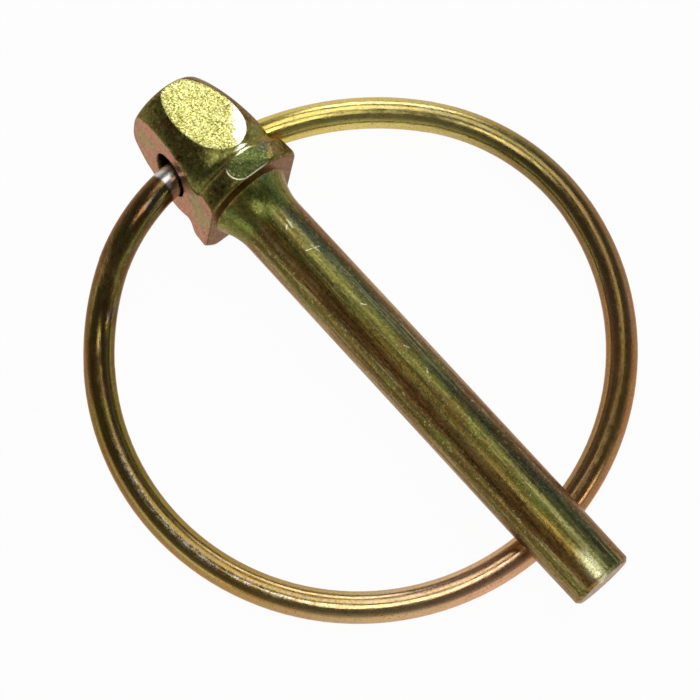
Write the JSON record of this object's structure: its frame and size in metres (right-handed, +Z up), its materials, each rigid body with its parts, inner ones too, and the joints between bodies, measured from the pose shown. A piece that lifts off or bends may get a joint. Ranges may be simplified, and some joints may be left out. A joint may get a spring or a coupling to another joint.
{
  "type": "linch pin",
  "caption": "Forged linch pin with a drilled head and a sprung wire ring that swings over the free end of the shank and snaps shut behind it.",
  "frame": {"origin": "on the shank's axis, 19.9 mm from the shoulder, halfway along the length between the shoulder and the closed ring", "axes": "+X runs along the shank from the head to the tip; +Z is up as the pin lies on its closed ring"},
  "size_m": [0.0619, 0.0523, 0.0124],
  "materials": {
    "pin_plating": "zinc plated with yellow chromate, satin",
    "ring_plating": "zinc plated with yellow chromate, smooth"
  },
  "bodies": {
    "pin": {"forged_pin": "pin_plating"},
    "ring": {"spring_ring": "ring_plating"}
  },
  "joints": [
    {"name": "ring_swing", "type": "hinge", "parent": "pin", "child": "ring", "pos_m": [-0.0257, 0, 0], "axis": [0.2079, 0.9474, -0.2433], "range_deg": [0, 347]}
  ]
}
